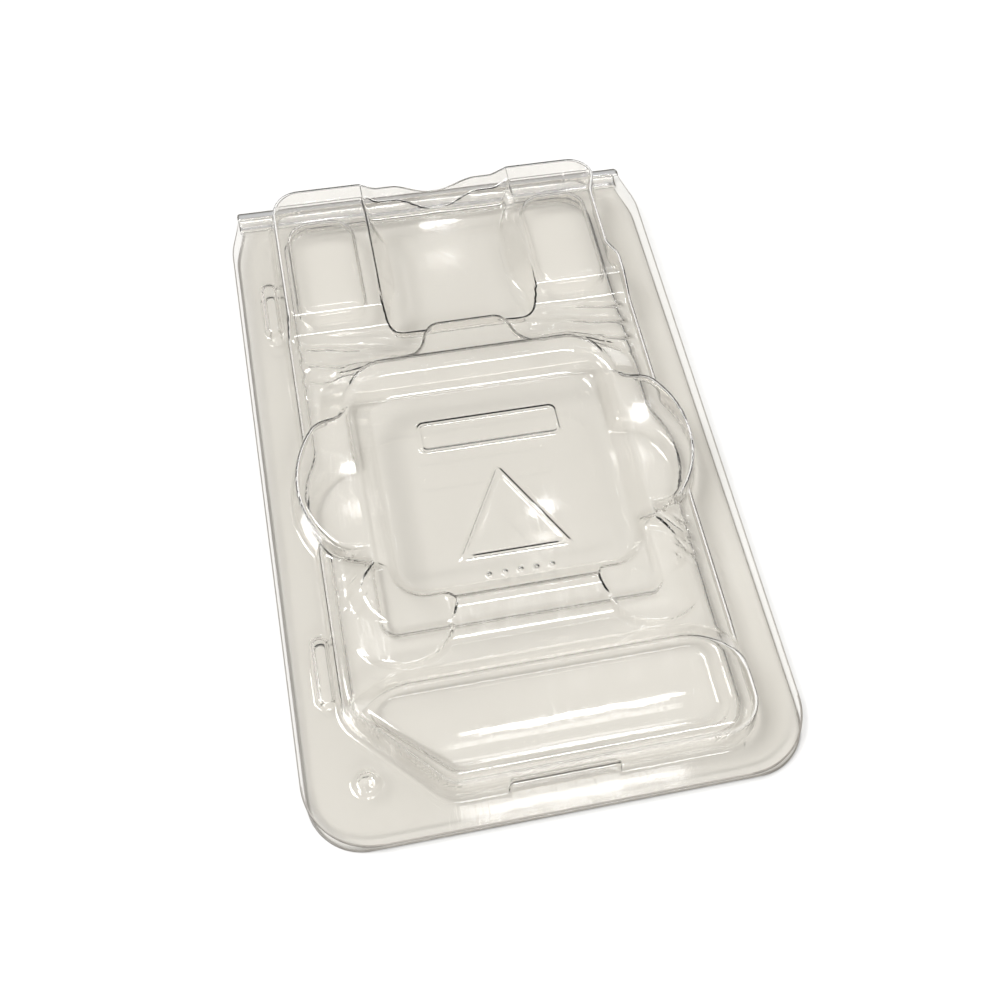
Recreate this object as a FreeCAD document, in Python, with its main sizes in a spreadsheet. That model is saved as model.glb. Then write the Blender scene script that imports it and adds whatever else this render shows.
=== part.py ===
"""Clear two-panel clamshell pack for a 40 mm square processor, as a parametric document.

The pack is thin sheet formed into two shallow trays that fold together at a rolled hinge along
the back. The base lies flat on its flange and has a square pocket, finger reliefs, a front tray
and two rear plugs. The lid is a taller shell over it, with a dished square above the pocket.

Frame: millimetres, +Z up, +X to the right, +Y towards the hinge. The origin is on the surface
the pack stands on, below the middle of its outline. Every formed part is a drafted solid less
the same solid one sheet thickness inside it.
"""

import FreeCAD
import Part
import Sketcher
import math
import os

Vector = FreeCAD.Vector

os.makedirs("parts", exist_ok=True)
doc = FreeCAD.newDocument("ClamshellPack")
sheet = doc.addObject("Spreadsheet::Sheet", "Dims")

DIMENSIONS = {
    # the sheet and how it is formed
    "gauge": 0.45,            # sheet thickness
    "draft": 10,              # degrees that every formed wall leans
    # flanges
    "base_half": 36.0,        # half the width of the base flange
    "lid_half": 36.45,        # half the width of the lid flange
    "front_edge": -57.4,
    "fold_edge": 54.6,        # where both flanges meet the hinge
    "front_corner": 8.0,
    "ear_in": 1.7,            # the flanges narrow a little beside the hinge
    "ear_long": 6.5,
    "ear_round": 5.0,
    # hinge
    "fold_gap": 3.23,         # base underside to lid underside at the hinge
    "front_gap": 1.56,        # the same at the front edge
    "hinge_half": 35.0,
    "hinge_lead": 1.0,        # flat lead-in from a flange to the roll
    # lid shell
    "lid_top": 7.2,           # height of the rear blocks, the square's rim and the front tray
    "lid_shelf": 4.0,
    "skirt_half": 29.6,
    "skirt_front": -53.3,
    "skirt_back": 54.2,
    "skirt_round": 6.0,
    "cut_x": 16.7,            # the sloping front left corner ends here along the front ...
    "cut_y": -39.7,           # ... and here along the left side
    "cut_round": 3.0,
    "tray_rim": -37.9,        # back rim of the front tray
    "tray_foot": -34.6,
    "block_rim": 28.1,        # front rim of the rear blocks
    "block_foot": 24.9,
    # channel between the rear blocks
    "channel_level": 1.6,
    "channel_foot": 9.3,
    "channel_rim": 13.4,
    "channel_front": 15.0,
    "channel_back": 49.6,
    "wave_side": 5.5,         # height of the back rim beside the blocks
    "wave_low": 2.9,          # and in the middle of the channel
    "wave_half": 1.8,
    "wave_shoulder": 6.3,
    "wave_round": 2.5,
    # square over the processor
    "square_half": 23.6,
    "square_front": -28.9,
    "square_back": 18.1,
    "square_round": 7.0,
    "square_mid": -6.0,
    "wing_front": -17.0,      # the lobes at the square's sides lie between these two
    "wing_back": 8.4,
    "lobe_x": 15.1,
    "lobe_y": -3.8,
    "lobe_round": 17.0,
    "tab_half": 9.0,
    "tab_back": 24.4,
    "tab_round": 3.5,
    "tab_level": 6.0,
    # dished recess
    "dish_level": 4.0,
    "dish_half": 18.0,
    "dish_front": -22.8,
    "dish_back": 10.8,
    "dish_round": 4.0,
    "dish_slope": 45,
    "scallop_x": 17.8,
    "scallop_y": -28.0,
    "scallop_round": 8.0,
    "scallop_level": 5.6,
    # latch notch in the front wall
    "notch_half": 7.7,
    "notch_deep": 1.1,
    "notch_high": 2.4,
    # snap ribs and corner button, on the left of both flanges
    "rib_x": -31.1,
    "rib_half": 1.25,
    "rib_long": 5.6,          # half length
    "rib_high": 1.5,
    "rib_lean": 20,
    "rear_rib_y": 34.0,
    "front_rib_y": -31.4,
    "button_x": -27.3,
    "button_y": -48.6,
    "button_round": 2.0,
    "button_rim": 1.5,
    "button_high": 1.3,
    "dimple_round": 0.8,
    "dimple_high": 0.5,
    # base
    "plug_clear": 1.6,        # how far the base tray stands inside the lid's walls
    "deck": 2.6,              # height of the base tray
    "rear_plug": 5.2,         # height of the rear plugs
    "plug_in": 14.4,
    "plug_out": 27.4,
    "plug_front": 29.6,
    "plug_back": 52.0,
    "plug_round": 4.5,
    "pocket_half": 20.6,      # the pocket holds a 40 mm square processor
    "pocket_round": 1.5,
    "finger_round": 8.0,
    "bin_left": 24.4,
    "bin_right": 25.0,
    "bin_front": -48.6,
    "bin_back": -36.4,
    "bin_round": 3.0,
    "nest": 0.35,             # gap between a base rib or stud and the lid's one over it
    # plain embossing on the recess floor
    "emboss": 0.3,
    "bar_half": 11.5,
    "bar_mid": 2.9,
    "bar_wide": 3.0,
    "triangle_y": -14.0,
    "triangle_side": 9.2,
    "stroke": 1.1,
    "dot_y": -22.0,
    "dot_gap": 2.4,
    "dot_round": 0.6,
    # where the shells are divided into their formed sections
    "lid_front_cut": -31.5,
    "lid_rear_cut": 20.6,
    "base_front_cut": -32.0,
    "base_rear_cut": 22.0,
    "web_half": 13.0,
    "reach": 70.0,            # larger than the pack in every direction
}
for row, (alias, size) in enumerate(DIMENSIONS.items(), start=1):
    sheet.set(f"A{row}", str(size))
    sheet.setAlias(f"A{row}", alias)
doc.recompute()


def dim(text):
    """Writes each bare dimension name in an expression with the sheet's name before it."""
    words = "".join(c if c.isalnum() or c == "_" else " " for c in text).split()
    for word in sorted(set(words) & set(DIMENSIONS), key=len, reverse=True):
        parts = text.split(word)
        text = parts[0]
        for before, after in zip(parts, parts[1:]):
            inside = (before and (before[-1].isalnum() or before[-1] in "._")) or (
                after and (after[0].isalnum() or after[0] == "_")
            )
            text += (word if inside else "Dims." + word) + after
    return text


def value(text):
    """The number that an expression over the sheet gives."""
    return float(sheet.evalExpression(dim(text)))


def bind(thing, **links):
    for prop, text in links.items():
        thing.setExpression(prop, dim(text))
    return thing


def lift(thing, text):
    thing.setExpression(".Placement.Base.z", dim(text))
    return thing


def outline(name, corners, plane="XY"):
    """A fully constrained closed sketch. Each corner is (x, y, radius), as expressions, and
    plane says which two axes the first two are: XY, XZ or YZ."""
    sketch = doc.addObject("Sketcher::SketchObject", name)
    turn = {
        "XY": FreeCAD.Rotation(),
        "XZ": FreeCAD.Rotation(Vector(1, 0, 0), 90),
        "YZ": FreeCAD.Rotation(Vector(1, 1, 1), 120),
    }
    sketch.Placement = FreeCAD.Placement(Vector(), turn[plane])
    count = len(corners)
    points = [Vector(value(x), value(y), 0) for x, y, _ in corners]
    radii = [value(r) for _, _, r in corners]

    def point_of(i):
        return points[i % count]

    ends, starts, middles = [], [], []
    for i, point in enumerate(points):
        back = (point_of(i - 1) - point).normalize()
        ahead = (point_of(i + 1) - point).normalize()
        half = back.getAngle(ahead) / 2
        run = radii[i] / math.tan(half)
        centre = point + (back + ahead).normalize() * (radii[i] / math.sin(half))
        ends.append(point + back * run)
        starts.append(point + ahead * run)
        middles.append(centre - (back + ahead).normalize() * radii[i])
    lines = [
        sketch.addGeometry(Part.LineSegment(starts[i], ends[(i + 1) % count])) for i in range(count)
    ]
    for i in range(count):
        x, y, radius = corners[i]
        before = lines[i - 1]
        after = lines[i]
        held = sketch.addGeometry(Part.Point(points[i]), True)
        if radii[i] > 0:
            left_turn = (point_of(i - 1) - points[i]).cross(point_of(i + 1) - points[i]).z < 0
            head, tail = (1, 2) if left_turn else (2, 1)
            first, last = (ends[i], starts[i]) if left_turn else (starts[i], ends[i])
            arc = sketch.addGeometry(Part.Arc(first, middles[i], last))
            sketch.addConstraint(Sketcher.Constraint("Tangent", before, 2, arc, head))
            sketch.addConstraint(Sketcher.Constraint("Tangent", arc, tail, after, 1))
            bound = sketch.addConstraint(Sketcher.Constraint("Radius", arc, radii[i]))
            sketch.setExpression(f"Constraints[{bound}]", dim(radius))
            sketch.addConstraint(Sketcher.Constraint("PointOnObject", held, 1, before))
            sketch.addConstraint(Sketcher.Constraint("PointOnObject", held, 1, after))
        else:
            sketch.addConstraint(Sketcher.Constraint("Coincident", before, 2, after, 1))
            sketch.addConstraint(Sketcher.Constraint("Coincident", held, 1, after, 1))
        for kind, text, size in (("DistanceX", x, points[i].x), ("DistanceY", y, points[i].y)):
            bound = sketch.addConstraint(Sketcher.Constraint(kind, -1, 1, held, 1, size))
            sketch.setExpression(f"Constraints[{bound}]", dim(text))
    return sketch


def rectangle(name, left, right, front, back, radius, plane="XY"):
    corners = [(left, front), (right, front), (right, back), (left, back)]
    return outline(name, [(x, y, radius) for x, y in corners], plane)


def prism(name, sketch, low, high, lean="0", axis=(0, 0, 1)):
    """Stands a sketch up from low to high. Its walls lean in by lean degrees."""
    solid = doc.addObject("Part::Extrusion", name)
    solid.Base = sketch
    solid.DirMode = "Custom"
    solid.Dir = Vector(*axis)
    solid.Solid = True
    bind(solid, LengthFwd=f"({high}) - ({low})", TaperAngle=f"0 - ({lean})")
    slot = {(0, 0, 1): "z", (0, 1, 0): "y", (1, 0, 0): "x"}[axis]
    solid.setExpression(f".Placement.Base.{slot}", dim(low))
    return solid


def inner(name, sketch, high, lean="draft"):
    """The hollow inside a prism of the same sketch: its walls are one gauge in, because it
    starts that much lower on the same lean, and its top is one gauge down."""
    return prism(name, sketch, f"0 - gauge / tan({lean})", f"({high}) - gauge", lean)


def cylinder(name, x, y, low, high, radius):
    solid = doc.addObject("Part::Cylinder", name)
    bind(solid, Radius=radius, Height=f"({high}) - ({low})")
    for slot, text in (("x", x), ("y", y), ("z", low)):
        solid.setExpression(f".Placement.Base.{slot}", dim(text))
    return solid


def cone(name, x, y, low, high, foot, rim):
    solid = doc.addObject("Part::Cone", name)
    bind(solid, Radius1=foot, Radius2=rim, Height=f"({high}) - ({low})")
    for slot, text in (("x", x), ("y", y), ("z", low)):
        solid.setExpression(f".Placement.Base.{slot}", dim(text))
    return solid


def box(name, left, right, front, back, low, high):
    solid = doc.addObject("Part::Box", name)
    bind(
        solid,
        Length=f"({right}) - ({left})",
        Width=f"({back}) - ({front})",
        Height=f"({high}) - ({low})",
    )
    for slot, text in (("x", left), ("y", front), ("z", low)):
        solid.setExpression(f".Placement.Base.{slot}", dim(text))
    return solid


def join(name, *solids):
    fused = doc.addObject("Part::MultiFuse", name)
    fused.Shapes = list(solids)
    return fused


def less(name, solid, *tools):
    """A solid with tools cut away, one after another."""
    for number, tool in enumerate(tools):
        cut = doc.addObject("Part::Cut", name if tool is tools[-1] else f"{name}_{number}")
        cut.Base = solid
        cut.Tool = tool
        solid = cut
    return solid


def shared(name, first, second):
    both = doc.addObject("Part::Common", name)
    both.Base = first
    both.Tool = second
    return both


nodes = {}


def node(name, solid, lid=False):
    """Registers a sub-part. Those of the lid lie on its slightly sloping flange."""
    solid.Label = name
    if lid:
        slope = "atan((fold_gap - front_gap) / (fold_edge - front_edge))"
        solid.Placement = FreeCAD.Placement(Vector(), FreeCAD.Rotation(Vector(1, 0, 0), 1))
        solid.setExpression(".Placement.Rotation.Angle", dim(slope))
        solid.setExpression(".Placement.Base.y", dim(f"fold_edge * (1 - cos({slope}))"))
        solid.setExpression(".Placement.Base.z", dim(f"fold_gap - fold_edge * sin({slope})"))
    nodes[name] = solid
    return solid


def flange_outline(name, half):
    """A flange: large front corners, and ears that narrow a little beside the hinge."""
    corners = [
        (f"0 - {half}", "front_edge", "front_corner"),
        (half, "front_edge", "front_corner"),
        (half, "fold_edge - ear_long", "ear_round"),
        (f"{half} - ear_in", "fold_edge", "0"),
        (f"ear_in - {half}", "fold_edge", "0"),
        (f"0 - {half}", "fold_edge - ear_long", "ear_round"),
    ]
    return outline(name, corners)


def tray_outline(name, inset):
    """The foot of a tray, with its sloping front left corner, set in from the lid's walls."""
    left = f"{inset} - skirt_half"
    front = f"skirt_front + {inset}"
    corners = [
        (left, f"cut_y + 0.4 * {inset}", "cut_round"),
        (f"0.4 * {inset} - cut_x", front, "cut_round"),
        (f"skirt_half - {inset}", front, "skirt_round"),
        (f"skirt_half - {inset}", f"skirt_back - {inset}", "skirt_round"),
        (left, f"skirt_back - {inset}", "skirt_round"),
    ]
    return outline(name, corners)


# ---------------------------------------------------------------- lid shell

skirt = tray_outline("SkirtFoot", "0")
terrace = outline(
    "Terraces",
    [
        ("0 - reach", "0 - reach", "0"),
        ("0 - reach", "lid_top", "0"),
        ("tray_rim", "lid_top", "0"),
        ("tray_foot", "lid_shelf", "0"),
        ("block_foot", "lid_shelf", "0"),
        ("block_rim", "lid_top", "0"),
        ("reach", "lid_top", "0"),
        ("reach", "0 - reach", "0"),
    ],
    "YZ",
)
channel = outline(
    "ChannelSection",
    [
        ("0 - channel_foot", "channel_level", "1"),
        ("channel_foot", "channel_level", "1"),
        ("channel_rim", "lid_top + 0.1", "0"),
        ("0 - channel_rim", "lid_top + 0.1", "0"),
    ],
    "XZ",
)
wave = outline(
    "BackRimWave",
    [
        ("0 - channel_rim", "lid_top + 0.1", "0"),
        ("2 - channel_rim", "wave_side", "1"),
        ("0 - wave_shoulder", "wave_side", "wave_round"),
        ("0 - wave_half", "wave_low", "wave_round"),
        ("wave_half", "wave_low", "wave_round"),
        ("wave_shoulder", "wave_side", "wave_round"),
        ("channel_rim - 2", "wave_side", "1"),
        ("channel_rim", "lid_top + 0.1", "0"),
    ],
    "XZ",
)
square = rectangle(
    "SquareFoot", "0 - square_half", "square_half", "square_front", "square_back", "square_round"
)
wings = rectangle("WingFoot", "0 - lid_half", "lid_half", "wing_front", "wing_back", "0")
tab = rectangle("TabFoot", "0 - tab_half", "tab_half", "square_mid", "tab_back", "tab_round")
dish = rectangle("DishFloor", "0 - dish_half", "dish_half", "dish_front", "dish_back", "dish_round")


def lid_solid(name, drop, spread, stand):
    """The lid's outer form where drop and spread are 0, and its hollow where they are one gauge.
    stand makes a leaning prism from a sketch and its top."""
    top = f"lid_top - {drop}"
    tall = stand(f"{name}Tall", skirt, "lid_top")
    steps = lift(
        prism(f"{name}Steps", terrace, "0 - reach", "reach", axis=(1, 0, 0)), f"0 - {drop}"
    )
    trough = prism(
        f"{name}Trough", channel, f"channel_front - {spread}", f"channel_back + {spread}",
        axis=(0, 1, 0),
    )
    dip = prism(f"{name}Dip", wave, "channel_back", "reach", axis=(0, 1, 0))
    for cutter in (trough, dip):
        lift(cutter, f"0 - {drop}")
    body = less(f"{name}Body", shared(f"{name}Blocks", tall, steps), trough, dip)
    lean = "lid_top * tan(draft)"
    discs = [
        cone(
            f"{name}Disc{side}", f"{sign} * lobe_x", "lobe_y", "0", top,
            f"lobe_round + {lean} - {spread}",
            f"lobe_round + {drop} * tan(draft) - {spread}",
        )
        for side, sign in (("Left", "-1"), ("Right", "1"))
    ]
    lobes = shared(
        f"{name}Lobes", join(f"{name}Discs", *discs), stand(f"{name}Wings", wings, "lid_top")
    )
    raised = join(
        f"{name}Raised",
        body,
        stand(f"{name}Square", square, "lid_top"),
        stand(f"{name}Tab", tab, "tab_level"),
        lobes,
    )
    recess = prism(
        f"{name}Recess", dish, f"dish_level - {drop}", f"lid_top + 1 - {drop}", "0 - dish_slope"
    )
    scallops = [
        cylinder(
            f"{name}Scallop{side}", f"{sign} * scallop_x", "scallop_y",
            f"scallop_level - {drop}", "lid_top + 1", f"scallop_round + {spread}",
        )
        for side, sign in (("Left", "-1"), ("Right", "1"))
    ]
    notch = box(
        f"{name}Notch", f"0 - notch_half - {spread}", f"notch_half + {spread}",
        "0 - reach", f"skirt_front + notch_deep + {spread}", "0 - 1", f"notch_high + {spread}",
    )
    return less(f"{name}Solid", raised, recess, *scallops, notch)


def full(name, sketch, high):
    return prism(name, sketch, "0", high, "draft")


lid_form = lid_solid("LidForm", "0", "0", full)
lid_hollow = lid_solid("LidHollow", "gauge", "gauge", inner)
lid_shell = less("LidShell", lid_form, lid_hollow)

lid_sections = {
    "lid_front_tray": ("0 - reach", "reach", "0 - reach", "lid_front_cut"),
    "lid_square_cover": ("0 - reach", "reach", "lid_front_cut", "lid_rear_cut"),
    "lid_rear_block_left": ("0 - reach", "0 - channel_rim", "lid_rear_cut", "reach"),
    "lid_rear_block_right": ("channel_rim", "reach", "lid_rear_cut", "reach"),
    "lid_rear_channel": ("0 - channel_rim", "channel_rim", "lid_rear_cut", "reach"),
}
for name, (left, right, front, back) in lid_sections.items():
    region = box(f"Region_{name}", left, right, front, back, "0 - reach", "reach")
    node(name, shared(f"Section_{name}", lid_shell, region), lid=True)


def rib_parts(name, y, shrink):
    """A snap rib's outer form and its hollow. shrink makes the base's rib, which nests below."""
    foot = rectangle(
        f"{name}Foot", f"rib_x - rib_half + {shrink}", f"rib_x + rib_half - {shrink}",
        f"{y} - rib_long + {shrink}", f"{y} + rib_long - {shrink}", f"rib_half - {shrink} - 0.05",
    )
    form = prism(f"{name}Form", foot, "0", f"rib_high - {shrink}", "rib_lean")
    hollow = prism(
        f"{name}Hollow", foot, "0 - gauge / tan(rib_lean)", f"rib_high - {shrink} - gauge",
        "rib_lean",
    )
    return form, hollow


def button_parts(name, shrink):
    """The corner button's outer form and its hollow, with a dimple in its top."""
    place = ("button_x", "button_y")
    high = f"button_high - {shrink}"
    solid = cone(
        f"{name}Cone", *place, "0", high, f"button_round - {shrink}", f"button_rim - {shrink}"
    )
    dimple = cylinder(f"{name}Dimple", *place, f"{high} - dimple_high", "reach", "dimple_round")
    form = less(f"{name}Form", solid, dimple)
    room = cone(
        f"{name}Room", *place, "0 - 0.1", f"{high} - gauge",
        f"button_round - {shrink} - gauge", f"button_rim - {shrink} - gauge + 0.1",
    )
    seat = cylinder(
        f"{name}Seat", *place, f"{high} - dimple_high - gauge", "reach", "dimple_round + 0.3"
    )
    return form, less(f"{name}Hollow", room, seat)


rear_rib, rear_rib_hollow = rib_parts("LidRearRib", "rear_rib_y", "0")
front_rib, front_rib_hollow = rib_parts("LidFrontRib", "front_rib_y", "0")
button, button_hollow = button_parts("LidButton", "0")
node("lid_rear_snap_rib", less("LidRearRib", rear_rib, rear_rib_hollow), lid=True)
node("lid_front_snap_rib", less("LidFrontRib", front_rib, front_rib_hollow), lid=True)
node("lid_corner_button", less("LidButton", button, button_hollow), lid=True)

lid_plate = prism("LidPlate", flange_outline("LidFlangeEdge", "lid_half"), "0", "gauge")
lid_foot = join(
    "LidFootprint", full("LidFootSkirt", skirt, "lid_top"), doc.getObject("LidFormLobes")
)
latch_gap = box(
    "LatchGap", "0 - notch_half", "notch_half", "0 - reach", "skirt_front + notch_deep",
    "0 - 1", "notch_high",
)
lid_opening = less("LidOpening", lid_foot, latch_gap)
node(
    "lid_flange",
    less("LidFlange", lid_plate, lid_opening, rear_rib, front_rib, button),
    lid=True,
)

# ---------------------------------------------------------------- base shell

plug = tray_outline("PlugFoot", "plug_clear")
rear_plugs = {
    "Left": rectangle("PlugLeftFoot", "0 - plug_out", "0 - plug_in", "plug_front", "plug_back",
                      "plug_round"),
    "Right": rectangle("PlugRightFoot", "plug_in", "plug_out", "plug_front", "plug_back",
                       "plug_round"),
}


def base_solid(name, drop, spread, low, stand):
    """The base's outer form where drop and spread are 0, and its hollow where they are one
    gauge. low is the level that its pockets are cut down to."""
    lean = "deck * tan(draft)"
    lobes = [
        cone(
            f"{name}Lobe{side}", f"{sign} * lobe_x", "lobe_y", "0", f"deck - {drop}",
            f"lobe_round - plug_clear + {lean} - {spread}",
            f"lobe_round - plug_clear + {drop} * tan(draft) - {spread}",
        )
        for side, sign in (("Left", "-1"), ("Right", "1"))
    ]
    raised = join(
        f"{name}Raised",
        stand(f"{name}Deck", plug, "deck"),
        *[stand(f"{name}Plug{side}", foot, "rear_plug") for side, foot in rear_plugs.items()],
        *lobes,
    )
    pocket = prism(
        f"{name}Pocket",
        rectangle(
            f"{name}PocketFloor", f"0 - pocket_half - {spread}", f"pocket_half + {spread}",
            f"square_mid - pocket_half - {spread}", f"square_mid + pocket_half + {spread}",
            f"pocket_round + {spread}",
        ),
        low, "reach",
    )
    fingers = [
        cylinder(
            f"{name}Finger{side}", f"{sign} * pocket_half", "square_mid", low, "reach",
            f"finger_round + {spread}",
        )
        for side, sign in (("Left", "-1"), ("Right", "1"))
    ]
    bin_floor = outline(
        f"{name}BinFloor",
        [
            (f"0 - bin_left - {spread}", f"bin_back - 3 - 0.4 * {spread}", f"1 + {spread}"),
            (f"0 - 14 - 0.4 * {spread}", f"bin_front - {spread}", f"bin_round + {spread}"),
            (f"bin_right + {spread}", f"bin_front - {spread}", f"bin_round + {spread}"),
            (f"bin_right + {spread}", f"bin_back + {spread}", f"bin_round + {spread}"),
            (f"0 - bin_left - {spread}", f"bin_back + {spread}", f"1 + {spread}"),
        ],
    )
    return less(
        f"{name}Solid", raised, pocket, *fingers, prism(f"{name}Bin", bin_floor, low, "reach")
    )


base_form = base_solid("BaseForm", "0", "0", "gauge", full)
base_hollow = base_solid("BaseHollow", "gauge", "gauge", "0 - reach", inner)
base_shell = less("BaseShell", base_form, base_hollow)
base_sections = {
    "base_front_bin": ("0 - reach", "reach", "0 - reach", "base_front_cut"),
    "base_processor_pocket": ("0 - reach", "reach", "base_front_cut", "base_rear_cut"),
    "base_rear_plug_left": ("0 - reach", "0 - web_half", "base_rear_cut", "reach"),
    "base_rear_plug_right": ("web_half", "reach", "base_rear_cut", "reach"),
    "base_rear_web": ("0 - web_half", "web_half", "base_rear_cut", "reach"),
}
for name, (left, right, front, back) in base_sections.items():
    region = box(f"Region_{name}", left, right, front, back, "0 - reach", "reach")
    node(name, shared(f"Section_{name}", base_shell, region))

low_rib, low_rib_hollow = rib_parts("BaseRearRib", "rear_rib_y", "nest")
fore_rib, fore_rib_hollow = rib_parts("BaseFrontRib", "front_rib_y", "nest")
stud, stud_hollow = button_parts("BaseStud", "nest")
node("base_rear_snap_rib", less("BaseRearRib", low_rib, low_rib_hollow))
node("base_front_snap_rib", less("BaseFrontRib", fore_rib, fore_rib_hollow))
node("base_corner_stud", less("BaseStud", stud, stud_hollow))

base_plate = prism("BasePlate", flange_outline("BaseFlangeEdge", "base_half"), "0", "gauge")
base_foot = join(
    "BaseFootprint",
    full("BaseFootDeck", plug, "deck"),
    cone("BaseFootLobeLeft", "0 - lobe_x", "lobe_y", "0", "deck",
         "lobe_round - plug_clear + deck * tan(draft)", "lobe_round - plug_clear"),
    cone("BaseFootLobeRight", "lobe_x", "lobe_y", "0", "deck",
         "lobe_round - plug_clear + deck * tan(draft)", "lobe_round - plug_clear"),
)
node("base_flange", less("BaseFlange", base_plate, base_foot, low_rib, fore_rib, stud))

# ---------------------------------------------------------------- rolled hinge

ROLL = "(fold_gap + gauge) / 2"


def hinge_leaf(name, upper):
    """Half of the roll: a flat lead-in from the flange and a quarter turn out to the back."""
    radius = value(ROLL)
    gauge = value("gauge")
    start = value("fold_edge")
    centre = start + value("hinge_lead")
    sign = 1 if upper else -1

    def at(y, height):
        return Vector(0, y, radius + sign * height)

    def quarter(size):
        middle = size / math.sqrt(2)
        return Part.Arc(at(centre, size), at(centre + middle, middle), at(centre + size, 0))

    small = radius - gauge
    edges = [
        Part.LineSegment(at(start, radius), at(centre, radius)),
        quarter(radius),
        Part.LineSegment(at(centre + radius, 0), at(centre + small, 0)),
        quarter(small),
        Part.LineSegment(at(centre, small), at(start, small)),
        Part.LineSegment(at(start, small), at(start, radius)),
    ]
    wire = Part.Wire(Part.__sortEdges__([edge.toShape() for edge in edges]))
    width = 2 * value("hinge_half")
    leaf = doc.addObject("Part::Feature", name)
    leaf.Shape = Part.Face(wire).extrude(Vector(width, 0, 0))
    leaf.Placement = FreeCAD.Placement(Vector(-width / 2, 0, 0), FreeCAD.Rotation())
    return leaf


node("base_hinge_leaf", hinge_leaf("BaseHingeLeaf", upper=False))
node("lid_hinge_leaf", hinge_leaf("LidHingeLeaf", upper=True))

# ---------------------------------------------------------------- plain embossing

EMBOSS_LOW = "dish_level"
EMBOSS_HIGH = "dish_level + emboss"


def triangle(name, side):
    """A rounded triangle that points to the hinge."""
    rise = f"{side} * sqrt(3) / 2"
    corners = [
        (f"0 - {side}", f"triangle_y - {side} * sqrt(3) / 3", "1.2"),
        (side, f"triangle_y - {side} * sqrt(3) / 3", "1.2"),
        ("0", f"triangle_y + {rise} * 4 / 3", "1.2"),
    ]
    return outline(name, corners)


ring = less(
    "TriangleRing",
    prism("TriangleOuter", triangle("TriangleEdge", "triangle_side"), EMBOSS_LOW, EMBOSS_HIGH),
    prism(
        "TriangleInner",
        triangle("TriangleHole", "(triangle_side - stroke * sqrt(3))"),
        EMBOSS_LOW,
        EMBOSS_HIGH,
    ),
)
node("lid_embossed_triangle", ring, lid=True)

bar = prism(
    "EmbossedBar",
    rectangle("BarEdge", "0 - bar_half", "bar_half", "bar_mid - bar_wide", "bar_mid + bar_wide",
              "1"),
    EMBOSS_LOW,
    EMBOSS_HIGH,
)
slot = prism(
    "BarSlot",
    rectangle("BarSlotEdge", "stroke - bar_half", "bar_half - stroke",
              "bar_mid - bar_wide + stroke", "bar_mid + bar_wide - stroke", "0.5"),
    EMBOSS_LOW,
    EMBOSS_HIGH,
)
node("lid_embossed_bar", less("BarRing", bar, slot), lid=True)

dots = [
    cylinder(f"Dot{i}", f"({i}) * dot_gap", "dot_y", EMBOSS_LOW, EMBOSS_HIGH, "dot_round")
    for i in (-2, -1, 0, 1, 2)
]
node("lid_embossed_dots", join("EmbossedDots", *dots), lid=True)

# ---------------------------------------------------------------- check and write

doc.recompute()
broken = [o.Name for o in doc.Objects if "Invalid" in o.State or "Error" in o.State]
if broken:
    raise RuntimeError(f"failed objects: {broken}")
for name, solid in nodes.items():
    shape = solid.Shape
    if shape.isNull() or not shape.isValid() or not shape.Solids:
        raise RuntimeError(f"{name} has no valid solid")
    shape.exportStep(f"parts/{name}.step")
    room = shape.BoundBox
    print(
        f"{name}: {len(shape.Solids)} solid, {shape.Volume:.1f} mm3,"
        f" x {room.XMin:.2f} {room.XMax:.2f} y {room.YMin:.2f} {room.YMax:.2f}"
        f" z {room.ZMin:.2f} {room.ZMax:.2f}"
    )
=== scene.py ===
"""Clear clamshell pack for a 40 mm processor: looks, stage, light and camera.

Sizes are in millimetres in the pack's own frame and become metres when a mesh is made. Each half is one formed
sheet: its outer face is a height over the plan, its inner face lies one sheet thickness below along the normal.
"""

import math

import bpy
import numpy as np
from mathutils import Matrix, Vector


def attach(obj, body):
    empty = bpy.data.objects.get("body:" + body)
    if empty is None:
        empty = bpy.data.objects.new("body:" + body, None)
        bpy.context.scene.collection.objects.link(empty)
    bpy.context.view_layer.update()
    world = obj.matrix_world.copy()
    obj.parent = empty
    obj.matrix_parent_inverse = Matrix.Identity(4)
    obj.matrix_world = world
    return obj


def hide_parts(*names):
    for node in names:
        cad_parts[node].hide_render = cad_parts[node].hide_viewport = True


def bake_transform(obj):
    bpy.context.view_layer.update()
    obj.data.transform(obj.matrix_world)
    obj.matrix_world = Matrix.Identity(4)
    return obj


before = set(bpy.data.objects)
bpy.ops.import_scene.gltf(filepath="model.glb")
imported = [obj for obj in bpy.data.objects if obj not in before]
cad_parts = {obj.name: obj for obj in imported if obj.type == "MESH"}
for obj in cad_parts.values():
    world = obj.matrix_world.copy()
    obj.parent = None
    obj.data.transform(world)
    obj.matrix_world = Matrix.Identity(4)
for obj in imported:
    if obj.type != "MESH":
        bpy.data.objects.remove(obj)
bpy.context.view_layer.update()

MM = 0.001

# ---------------------------------------------------------------- sizes (mm)

GAUGE = 0.45
FRONT_EDGE, FOLD_EDGE = -57.4, 54.6
BASE_HALF, LID_HALF = 36.0, 36.45
FRONT_CORNER, LID_CORNER = 8.0, 10.0
EAR_IN, EAR_LONG = 1.7, 6.5
FOLD_GAP, FRONT_GAP = 3.23, 1.56
LID_TILT = math.atan2(FOLD_GAP - FRONT_GAP, FOLD_EDGE - FRONT_EDGE)

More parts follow.
